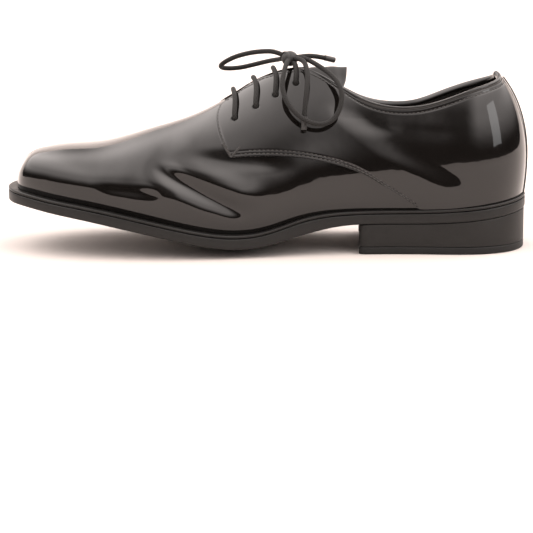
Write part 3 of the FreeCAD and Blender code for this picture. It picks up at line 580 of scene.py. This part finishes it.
def vamp_place(p, q):
    v = 2 * q - 1
    side = np.where(v < 0, -1.0, 1.0)
    u, t = p * vamp_rear(v), mix(math.pi / 2, -FEATHER_ANGLE, np.abs(v))
    spot = last_point(side, u, t, VAMP_OUT)
    lifted = VAMP_OUT + vamp_relief(side, spot) * smooth(t, -0.25, 0.15) * (1 - smooth(t, 1.2, 1.5) * 0.7)
    return last_point(side, u, t, lifted)


patent = patent_leather()
form = bmesh.new()
bmesh.ops.create_grid(form, x_segments=190, y_segments=170, size=0.5)
spread(form, vamp_place)
bmesh.ops.remove_doubles(form, verts=form.verts, dist=2e-6)
face_outwards(form)
give_thickness(finished("vamp_skin", form, ["vamp"], [patent]), LEATHER_THICK)

# ---- Toe puff, linings, insole and fillings -----------------------------------------------------
# Inside the upper are a stiffened fabric toe, leather linings and a stitched-in heel stiffener, on
# a board insole with a cork filling and a steel shank. Only the linings and the sock show.


def plain(name, tone, rough, scale, depth, metal=0.0, sheen=0.0):
    """A finish with a mottled colour and its own grain, for parts mostly out of sight."""
    material, nodes, links, shader = new_material(name)
    shader.inputs["Metallic"].default_value = metal
    shader.inputs["Sheen Weight"].default_value = sheen
    place = nodes.new("ShaderNodeTexCoord")
    grain = nodes.new("ShaderNodeTexNoise")
    grain.inputs["Scale"].default_value = scale
    grain.inputs["Detail"].default_value = 5.0
    links.new(place.outputs["Object"], grain.inputs["Vector"])
    mottle(nodes, links, grain, tone, 0.7, 1.3)
    gloss = nodes.new("ShaderNodeMapRange")
    gloss.inputs["To Min"].default_value = max(rough - 0.1, 0.05)
    gloss.inputs["To Max"].default_value = min(rough + 0.1, 1.0)
    links.new(grain.outputs["Fac"], gloss.inputs["Value"])
    links.new(gloss.outputs["Result"], shader.inputs["Roughness"])
    bump = nodes.new("ShaderNodeBump")
    bump.inputs["Strength"].default_value = 0.4
    bump.inputs["Distance"].default_value = depth * MM
    links.new(grain.outputs["Fac"], bump.inputs["Height"])
    links.new(bump.outputs["Normal"], shader.inputs["Normal"])
    return material


def dress(node, material):
    """Gives a CAD node a material."""
    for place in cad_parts[node].material_slots:
        place.material = material


lining_leather = plain("lining_leather", (0.020, 0.018, 0.016), 0.55, 420.0, 0.12)
stiffener_board = plain("stiffener_board", (0.22, 0.19, 0.15), 0.85, 600.0, 0.10)
sock_leather = plain("sock_leather", (0.026, 0.023, 0.020), 0.5, 380.0, 0.12)
insole_board = plain("insole_board", (0.34, 0.26, 0.17), 0.85, 700.0, 0.15)
cork = plain("cork", (0.36, 0.22, 0.11), 0.9, 330.0, 0.4)
shank_steel = plain("shank_steel", (0.42, 0.43, 0.44), 0.35, 250.0, 0.02, metal=1.0)
nail_steel = plain("nail_steel", (0.45, 0.45, 0.46), 0.3, 500.0, 0.02, metal=1.0)
eyelet_metal = plain("eyelet_metal", (0.10, 0.10, 0.10), 0.35, 500.0, 0.02, metal=1.0)
for node, material in {"toe_puff": stiffener_board, "heel_counter": stiffener_board, "insole": insole_board,
                       "vamp_lining": lining_leather, "quarter_lining_lateral": lining_leather,
                       "quarter_lining_medial": lining_leather, "facing_lining_lateral": lining_leather,
                       "facing_lining_medial": lining_leather, "sock_liner": sock_leather,
                       "cork_filler": cork, "shank": shank_steel, "heel_nails": nail_steel,
                       "blind_eyelets": eyelet_metal}.items():
    dress(node, material)

# ---- Tongue -------------------------------------------------------------------------------------
# A separate flap of the same patent calf that flexes where it meets the vamp. It has a thin foam
# filling and a leather lining, and it rises between the facings and ends in a cut edge.
TONGUE_FRONT_X, TONGUE_TIP_X = -32.0, 46.0
TONGUE_LEVEL, TONGUE_RISE = -2.9, 3.8
TONGUE_THICK, TONGUE_PAD_THICK = 1.1, 1.5
tongue_edge = spline([(0, 1.04), (0.3, 1.02), (0.7, 0.93), (1, 0.87)])


def station(x):
    return np.arccos((LAST_MIDDLE_X - x) / LAST_HALF_LENGTH) / math.pi


def tongue_place(depth, inset):
    def place(p, q):
        v = 2 * q - 1
        u = mix(station(TONGUE_FRONT_X + inset), station(TONGUE_TIP_X - inset) * (1 - 0.035 * v ** 4), p)
        t = mix(math.pi / 2, tongue_edge(p) + inset * 0.012, np.abs(v))
        rise = TONGUE_RISE * smooth(t, 1.24, math.pi / 2) * smooth(u, station(-24), station(-13))
        x = LAST_MIDDLE_X - LAST_HALF_LENGTH * np.cos(np.pi * u)
        wear = 0.18 * np.sin(x * 0.55 + 2 * v) * smooth(x, -25, 0) if depth == 0 else 0.0
        return last_point(np.where(v < 0, -1.0, 1.0), u, t, TONGUE_LEVEL + rise - depth + wear)
    return place


def tongue_layer(name, depth, thick, inset, node, material, edge):
    form = bmesh.new()
    bmesh.ops.create_grid(form, x_segments=90, y_segments=60, size=0.5)
    spread(form, tongue_place(depth, inset))
    face_outwards(form)
    return give_thickness(finished(name, form, [node], [material], "tongue"), thick, edge)


tongue_layer("tongue_leather", 0, TONGUE_THICK, 0, "tongue", patent, 0.3)
foam = plain("padding_foam", (0.30, 0.28, 0.20), 0.95, 900.0, 0.2)
padding = tongue_layer("tongue_foam", TONGUE_THICK + 0.1, TONGUE_PAD_THICK, 4,
                       "tongue_padding", foam, 0.0)
dress("tongue_lining", lining_leather)

# ---- Quarters -----------------------------------------------------------------------------------
# The two halves of the back of the upper. They lap over the vamp, their front corners are the
# open-laced facings, and they meet at the back seam. Four lace holes are punched in each facing.
OVERLAY_IN = VAMP_OUT + 0.12
OVERLAY_OUT = OVERLAY_IN + LEATHER_THICK
SEAM_END_X = 87.5
FACING_TOP = (21, 103.8)
TOPLINE_DIP = {1: 80.6, -1: 83.0}
BACK_HEIGHT = 101.3
HOLE_RADIUS = 1.95
SEAM_SHARE, FACING_SHARE = 0.58, 0.32
seam_line = [(-22.5, 57.0), (-12, 57.6), (-2, 57.7), (18, 56.5), (36.3, 53.1), (54.3, 46.8), (72.4, 36.4),
             (SEAM_END_X, None)]
facing_front = [(-22.5, 57.0), (-27.5, 65.3), (-30.3, 73.4), (-30.5, 79.4), (-28.5, 83.4)]
facing_edge = [(-28.5, 83.4), (-24, 86.7), (-17.5, 90.7), (-11, 95.2), (-2, 99.4), (7, 102.3), FACING_TOP]
eyelet_places = [(-19.6, 78.6), (-7.4, 85.1), (4.0, 91.4), (15.8, 97.9)]


def topline_curve(side):
    dip = TOPLINE_DIP[side]
    return curve_on_last(side, [
        FACING_TOP, (30, dip + 17.6), (42, dip + 11.2), (57, dip + 3.5), (74, dip), (88, dip + 0.8),
        (104, mix(dip + 5.2, BACK_HEIGHT - 13, 0.5)), (119, mix(dip + 10.4, BACK_HEIGHT - 7.8, 0.6)),
        ("at", 0.955, float(wall_angle(0.955, BACK_HEIGHT - 1.6, VAMP_OUT))),
        ("at", 1.0, float(wall_angle(1.0, BACK_HEIGHT, VAMP_OUT)))])


def chain(curves, breaks):
    edges = [0.0] + breaks + [1.0]

    def value(p):
        found = [curve(np.clip((p - a) / (b - a), 0, 1)) for curve, a, b in zip(curves, edges, edges[1:])]
        which = np.searchsorted(breaks, p)
        return tuple(np.choose(which, [f[k] for f in found]) for k in (0, 1))

    return value


def coons(bottom, top, front, back):
    def value(p, q):
        result = []
        for k in (0, 1):
            across = mix(bottom(p)[k], top(p)[k], q)
            along = mix(front(q)[k], back(q)[k], p)
            corner = mix(mix(bottom(0.0)[k], bottom(1.0)[k], p), mix(top(0.0)[k], top(1.0)[k], p), q)
            result.append(across + along - corner)
        return np.clip(result[0], 0.0, 1.0), np.clip(result[1], -FEATHER_ANGLE, math.pi / 2)

    return value


def quarter_patch(side):
    feather_start = locate(side, SEAM_END_X, None)[0]
    bottom = chain([curve_on_last(side, seam_line),
                    lambda p: (mix(feather_start, 1.0, p), -FEATHER_ANGLE + 0 * p)], [SEAM_SHARE])
    top = chain([curve_on_last(side, facing_edge), topline_curve(side)], [FACING_SHARE])
    back_angle = float(wall_angle(1.0, BACK_HEIGHT, VAMP_OUT))
    return coons(bottom, top, curve_on_last(side, facing_front),
                 lambda q: (1.0 + 0 * q, mix(-FEATHER_ANGLE, back_angle, q)))


def quarter_level(side, u, t):
    """The quarter's outer face: over the vamp in front, and down on the lining behind it."""
    seen = last_point(side, u, t, VAMP_OUT)
    line = 101 - 1.25 * (seen[..., 2] - 25) * smooth(seen[..., 2], 25, 60)
    line = np.maximum(line, 36 - 0.1 * (seen[..., 2] - 60))
    return VAMP_OUT + (OVERLAY_IN - (VAMP_OUT - LEATHER_THICK)) * (1 - smooth(seen[..., 0] - line, 0, 26))


quarter_patches = {side: quarter_patch(side) for side in (1, -1)}


def on_quarter(side, p, q, lift=0.0):
    u, t = quarter_patches[side](p, q)
    return last_point(float(side), u, t, quarter_level(float(side), u, t) + lift)


def distance_in(side, p, q):
    """How far (p, q) lies in from the quarter's lower, upper and front edges, in millimetres."""
    here = on_quarter(side, p, q)
    return [np.linalg.norm(here - on_quarter(side, a, b), axis=-1)
            for a, b in ((p, 0 * q), (p, 0 * q + 1), (0 * p, q))]


def groove(off, width=0.42, depth=0.2):
    return -depth * np.exp(-(off / width) ** 2)


def quarter_relief(side, p, q, spot):
    """Sewing draws the leather in along its rows, and the quarter swells softly between them."""
    low, high, front = distance_in(side, p, q)
    sewn = p < 0.575
    relief = np.where(sewn, groove(low - 1.5) + groove(low - 3.5), 0.0)
    relief += np.where(p < 0.335, groove(high - 1.6), groove(high - 1.9, 0.5, 0.28))
    relief += np.where(q < 0.98, groove(front - 1.6), 0.0)
    x, z = spot[..., 0], spot[..., 2]
    relief += 0.25 * np.sin(x * 0.075 + 0.6) * np.sin(z * 0.09) * smooth(x, 20, 60)
    if side < 0:
        relief -= 0.45 * valley(x, z, (36, 86), (74, 72), 5.0)
        relief -= 0.35 * valley(x, z, (52, 74), (108, 70), 4.0)
    else:
        relief -= 0.3 * valley(x, z, (44, 84), (80, 70), 4.5)
    return relief


def eyelet_axis(side, place):
    u, t = locate(side, place[0], place[1], OVERLAY_OUT)
    step = 1e-3
    a = last_point(side, u + step, t, OVERLAY_OUT) - last_point(side, u - step, t, OVERLAY_OUT)
    b = last_point(side, u, t + step, OVERLAY_OUT) - last_point(side, u, t - step, OVERLAY_OUT)
    normal = np.cross(a, b)
    normal *= np.sign(normal[2]) / np.linalg.norm(normal)
    return last_point(side, u, t, OVERLAY_OUT), normal


def quarter_place(side):
    def place(p, q):
        spot = on_quarter(side, p, q)
        return on_quarter(side, p, q, quarter_relief(side, p, q, spot))
    return place


for side, side_name in ((1, "lateral"), (-1, "medial")):
    form = bmesh.new()
    bmesh.ops.create_grid(form, x_segments=270, y_segments=110, size=0.5)
    spread(form, quarter_place(side))
    for place in eyelet_places:
        centre, axis = eyelet_axis(side, place)
        centre, axis = Vector(centre * MM), Vector(axis)
        inside = []
        for face in form.faces:
            away = face.calc_center_median() - centre
            if away.length < 5 * MM and (away - axis * away.dot(axis)).length < HOLE_RADIUS * MM:
                inside.append(face)
        rim = {vert for face in inside for vert in face.verts}
        bmesh.ops.delete(form, geom=inside, context="FACES")
        for vert in [v for v in rim if v.is_valid and v.is_boundary]:
            away = vert.co - centre
            flat = away - axis * away.dot(axis)
            vert.co = centre + axis * away.dot(axis) + flat.normalized() * HOLE_RADIUS * MM
    face_outwards(form)
    give_thickness(finished(f"quarter_{side_name}_leather", form, [f"quarter_{side_name}"],
                            [patent]), LEATHER_THICK)

dress("backstay", patent)

# ---- Collar binding -----------------------------------------------------------------------------
# A narrow folded strip of soft black leather sewn over the top edge of both quarters, so the
# collar ends in a rounded bead.


def binding_place(p, q):
    """p runs round the collar from one facing to the other, q round the bead."""
    w = 2 * p - 1
    spots = np.zeros(p.shape + (3,))
    for side in (1, -1):
        chosen = (w >= 0) if side > 0 else (w < 0)
        u, t = topline_curve(side)(1 - np.abs(w[chosen]))
        seen = last_point(float(side), u, t, VAMP_OUT)[..., 2]
        turn = 2 * np.pi * q[chosen]
        level = 1.45 - 1.95 * np.cos(turn)
        lift = 1.25 + 1.35 * np.sin(turn)
        spots[chosen] = last_point(float(side), u, wall_angle(u, seen + lift, VAMP_OUT), level)
    return spots


binding_leather = patent_leather("collar_binding", (0.006, 0.0055, 0.005), 0.28, 0.5)
form = bmesh.new()
bmesh.ops.create_grid(form, x_segments=420, y_segments=14, size=0.5)
spread(form, binding_place)
bmesh.ops.remove_doubles(form, verts=form.verts, dist=2e-6)
bmesh.ops.holes_fill(form, edges=[edge for edge in form.edges if edge.is_boundary], sides=0)
bmesh.ops.recalc_face_normals(form, faces=form.faces)
finished("collar_bead", form, ["topline_binding"], [binding_leather])

# ---- Stitching ----------------------------------------------------------------------------------
# Rows of black waxed-thread stitches, 1.9 mm long, that sink into the leather: a double row along
# the quarter's lower edge, one round the facing, one under the collar, and two bar tacks.
STITCH_PITCH, STITCH_LENGTH, STITCH_RADIUS = 2.5, 1.9, 0.27
TACK_HALF, TACK_LIFT = (0.9, 0.34, 0.3), 0.15


def row_along(side, way, edge, distance):
    """A row of (p, q) places that keeps a distance from the quarter's edge."""
    zero = 0 * way
    for_way = {"low": lambda d: (way, d), "high": lambda d: (way, 1 - d), "front": lambda d: (d, way)}[edge]
    share = zero + 0.03
    start = on_quarter(side, *for_way(zero))
    for _ in range(6):
        there = np.linalg.norm(on_quarter(side, *for_way(share)) - start, axis=-1)
        share = share * distance / there
    return for_way(share)


def thread_bead(form, middle, axes, halves):
    """One stitch, with its length along the first axis."""
    size = Matrix.Diagonal([half * MM for half in halves] + [1])
    bmesh.ops.create_uvsphere(form, u_segments=6, v_segments=5, radius=1.0,
                              matrix=Matrix.Translation(middle) @ Matrix(axes).transposed().to_4x4() @ size
                              @ Matrix.Rotation(math.pi / 2, 4, "Y"))


def stitches(form, path, outwards):
    """Lays one thread capsule every pitch along a path of points in millimetres."""
    along = np.concatenate([[0.0], np.cumsum(np.linalg.norm(np.diff(path, axis=0), axis=1))])
    count = int(along[-1] / STITCH_PITCH)
    for place in (np.arange(count) + 0.5) * along[-1] / count:
        ends = [Vector([np.interp(place + shift, along, path[:, k]) for k in range(3)])
                for shift in (-STITCH_LENGTH / 2, STITCH_LENGTH / 2)]
        out = Vector([np.interp(place, along, outwards[:, k]) for k in range(3)]).normalized()
        way = (ends[1] - ends[0]).normalized()
        across = out.cross(way).normalized()
        thread_bead(form, (ends[0] + ends[1]) / 2 * MM, (way, across, way.cross(across)),
                    (STITCH_LENGTH / 2, STITCH_RADIUS * 1.15, STITCH_RADIUS))


def sewn_row(form, side, way, edge, distance):
    p, q = row_along(side, way, edge, distance)
    spot = on_quarter(side, p, q)
    sunk = on_quarter(side, p, q, quarter_relief(side, p, q, spot) + 0.12)
    stitches(form, sunk, on_quarter(side, p, q, 1.0) - spot)


def tack(form, side, start, end, count):
    """A short bar of close stitches that holds a corner of the facing."""
    for share in np.linspace(0, 1, count):
        x, z = mix(start[0], end[0], share), mix(start[1], end[1], share)
        u, t = locate(side, x, z, OVERLAY_OUT)
        spot, out = last_point(side, u, t, OVERLAY_OUT + TACK_LIFT), eyelet_axis(side, (x, z))[1]
        way = Vector((end[0] - start[0], 0, end[1] - start[1])).normalized()
        across = Vector(out).cross(way).normalized()
        thread_bead(form, Vector(spot) * MM, (across, way, across.cross(way)), TACK_HALF)


thread = plain("sewing_thread", (0.035, 0.032, 0.030), 0.5, 2500.0, 0.05)
form = bmesh.new()
for side in (1, -1):
    sewn_row(form, side, np.linspace(0.03, 0.572, 400), "low", 1.5)
    sewn_row(form, side, np.linspace(0.06, 0.572, 400), "low", 3.5)
    sewn_row(form, side, np.linspace(0.04, 0.94, 200), "front", 1.6)
    sewn_row(form, side, np.linspace(0.03, 0.315, 300), "high", 1.6)
    sewn_row(form, side, np.linspace(0.335, 0.995, 500), "high", 1.9)
for side in (1, -1):
    tack(form, side, (-20.5, 58.8), (-16.5, 63.2), 9)
    tack(form, side, (-26.2, 65.0), (-22.0, 58.6), 11)
finished("stitch_rows", form, [], [thread])

# ---- Lace ---------------------------------------------------------------------------------------
# One round waxed cotton lace, straight-bar laced through four pairs of blind eyelets and tied in a
# bow. The braid shows as a fine cross pattern along the cord, with painted shade darkening its grooves.
LACE_DIAMETER = 2.9 * MM
BRAID_PITCH = 1.5 * MM


def lace_material(length):
    cotton, nodes, links, shader = new_material("lace_cotton")
    shader.inputs["Roughness"].default_value = 0.7
    shader.inputs["Specular IOR Level"].default_value = 0.2
    shader.inputs["Sheen Weight"].default_value = 0.05
    shader.inputs["Sheen Roughness"].default_value = 0.5
    place = nodes.new("ShaderNodeTexCoord")
    bands = []
    for turn in (1, -1):
        twist = nodes.new("ShaderNodeMapping")
        twist.inputs["Scale"].default_value = (length / BRAID_PITCH * 0.5, 3.0 * turn, 1)
        wave = nodes.new("ShaderNodeTexWave")
        wave.wave_type = "BANDS"
        wave.bands_direction = "DIAGONAL"
        wave.inputs["Scale"].default_value = 1.0
        wave.inputs["Distortion"].default_value = 0.0
        links.new(place.outputs["UV"], twist.inputs["Vector"])
        links.new(twist.outputs["Vector"], wave.inputs["Vector"])
        bands.append(wave)
    braid_and_groove_shade = nodes.new("ShaderNodeMath")
    braid_and_groove_shade.operation = "MAXIMUM"
    links.new(bands[0].outputs["Fac"], braid_and_groove_shade.inputs[0])
    links.new(bands[1].outputs["Fac"], braid_and_groove_shade.inputs[1])
    # Painted shade: the braid's low grooves are coloured near-black and its raised strands lighter,
    # following the same pattern as the bump.
    tint = nodes.new("ShaderNodeMix")
    tint.data_type = "RGBA"
    tint.inputs[6].default_value = (0.004, 0.004, 0.004, 1)
    tint.inputs[7].default_value = (0.022, 0.021, 0.020, 1)
    links.new(braid_and_groove_shade.outputs[0], tint.inputs[0])
    links.new(tint.outputs[2], shader.inputs["Base Color"])
    bump = nodes.new("ShaderNodeBump")
    bump.inputs["Strength"].default_value = 0.8
    bump.inputs["Distance"].default_value = 0.15 * MM
    links.new(braid_and_groove_shade.outputs[0], bump.inputs["Height"])
    links.new(bump.outputs["Normal"], shader.inputs["Normal"])
    return cotton


def lace_run(name, node, route, length):
    curve = bpy.data.curves.new(name, "CURVE")
    curve.dimensions = "3D"
    line = curve.splines.new("NURBS")
    line.points.add(len(route) - 1)
    for point, place in zip(line.points, route):
        point.co = (place[0] * MM, place[1] * MM, place[2] * MM, 1)
    line.order_u = 3
    line.use_endpoint_u = True
    line.resolution_u = 8
    curve.bevel_depth = LACE_DIAMETER / 2
    curve.bevel_resolution = 4
    curve.use_fill_caps = True
    curve.materials.append(lace_material(length))
    piece = bpy.data.objects.new(name, curve)
    bpy.context.scene.collection.objects.link(piece)
    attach(piece, "shoe")
    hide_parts(node)
    return piece


lacing_route = [
    (13.0, 1.0, 108.3), (15.19, 4.65, 108.7), (15.99, 10.63, 105.55), (15.59, 17.32, 99.2),
    (16.24, 13.42, 95.21), (11.52, 17.86, 89.73), (6.26, 20.52, 85.59), (0.19, 21.1, 83.4),
    (-6.57, 20.09, 82.51), (-7.79, 24.03, 86.33), (-7.67, 15.44, 94.55), (-8.48, 7.13, 98.83),
    (-9.31, -1.22, 100.03), (-7.75, -8.37, 98.86), (-6.95, -15.45, 94.66), (-7.69, -22.96, 86.26),
    (-6.78, -18.7, 82.7), (-13.13, -19.34, 80.24), (-18.93, -21.77, 76.03), (-19.92, -25.81, 79.81),
    (-19.3, -17.74, 87.86), (-20.1, -9.6, 91.92), (-20.93, -1.16, 93.02), (-20.91, 8.35, 91.89),
    (-20.11, 17.57, 87.75), (-20.01, 26.54, 79.86), (-18.73, 22.74, 75.92), (-13.59, 18.61, 81.51),
    (-8.05, 16.16, 85.72), (-1.96, 16.1, 87.95), (4.7, 17.25, 88.83), (3.67, 21.25, 92.65),
    (3.98, 13.31, 100.5), (3.17, 5.98, 104.53), (2.34, -1.25, 105.71), (3.72, -7.27, 104.55),
    (4.51, -13.33, 100.57), (3.76, -20.11, 92.55), (4.52, -15.75, 89.08), (9.85, -13.35, 93.14),
    (16.11, -12.21, 95.51), (15.65, -16.53, 99.07), (16.29, -10.88, 105.57), (15.51, -6.04, 108.7),
    (13.0, -2.0, 108.3)]
front_loop_route = [
    (12.5, -0.5, 110.8), (5, 2.5, 114.8), (-4, 6, 114.6), (-13, 10.5, 113), (-22, 16, 109.8),
    (-29.5, 22, 104.8), (-27.5, 27.5, 102.3), (-18, 29.5, 102.4), (-8, 26.5, 105), (0, 20, 107.6),
    (6, 12.5, 109.2), (9, 6, 110.4), (11.6, -0.5, 111.2)]
side_loop_route = [
    (12.5, -0.5, 110.8), (10.8, -9, 110), (8.6, -18.5, 104), (7.5, -26, 95.8), (11, -31.5, 86.8),
    (19.5, -35.8, 78.8), (30, -36.5, 75.5), (38, -34, 79), (42, -31, 87.5), (42, -27.8, 95.6),
    (37.5, -20.5, 102.4), (28.5, -10.5, 108), (19.5, -2, 112.2), (12.5, -0.5, 111.6)]
back_end_route = [(12.5, -0.5, 110.8), (20.5, 4, 112), (29, 9.5, 111.4), (39, 15, 108.6)]
hanging_end_route = [
    (12.5, -0.5, 110.8), (19.8, -7.6, 112.2), (22.8, -18.5, 105), (22, -26.2, 95.4), (20.8, -30.2, 86),
    (20.3, -33, 73)]
lace_run("lacing_cord", "lace_through_eyelets", lacing_route, 0.3195)
lace_run("front_bow_loop", "lace_loop_front", front_loop_route, 0.1098)
lace_run("side_bow_loop", "lace_loop_side", side_loop_route, 0.1365)
lace_run("back_lace_end", "lace_end_back", back_end_route, 0.031)
lace_run("hanging_lace_end", "lace_end_hanging", hanging_end_route, 0.0585)

# ---- Knot and aglets ----------------------------------------------------------------------------
# The bow's knot: the lace crosses itself in a tight core and one strand wraps round it. Each free
# end is crimped in a thin black plastic sleeve.
KNOT = (12.5, -0.5, 110.8)
KNOT_HALF = (5.0, 4.2, 4.5)
WRAP_START, WRAP_RADIUS, WRAP_DEGREES, WRAP_STEPS, WRAP_DRIFT = -3.0, 4.0, 590, 64, 0.055
form = bmesh.new()
core = bmesh.ops.create_uvsphere(form, u_segments=36, v_segments=20, radius=1.0)["verts"]
bmesh.ops.scale(form, verts=core, vec=[c * MM for c in KNOT_HALF])
wrap = bmesh.ops.create_circle(form, cap_ends=True, segments=14, radius=LACE_DIAMETER / 2)["verts"]
bmesh.ops.rotate(form, verts=wrap, cent=(0, 0, 0), matrix=Matrix.Rotation(math.radians(84), 3, "X"))
bmesh.ops.translate(form, verts=wrap, vec=(WRAP_START * MM, WRAP_RADIUS * MM, 0))
bmesh.ops.spin(form, geom=list({face for vert in wrap for face in vert.link_faces}),
               cent=(0, 0, 0), axis=(1, 0, 0),
               dvec=(WRAP_DRIFT * MM, 0, 0), angle=math.radians(WRAP_DEGREES), steps=WRAP_STEPS)
bmesh.ops.rotate(form, verts=form.verts, cent=(0, 0, 0), matrix=Matrix.Rotation(math.radians(20), 3, "Z"))
bmesh.ops.translate(form, verts=form.verts, vec=[c * MM for c in KNOT])
bmesh.ops.recalc_face_normals(form, faces=form.faces)
knot_cotton = plain("knot_cotton", (0.014, 0.0135, 0.013), 0.6, 1500.0, 0.15, sheen=0.1)
finished("bow_knot", form, ["lace_knot"], [knot_cotton])

aglet_plastic = plain("aglet_plastic", (0.030, 0.028, 0.027), 0.4, 300.0, 0.02)
for node in ("aglet_end_back", "aglet_end_hanging"):
    dress(node, aglet_plastic)
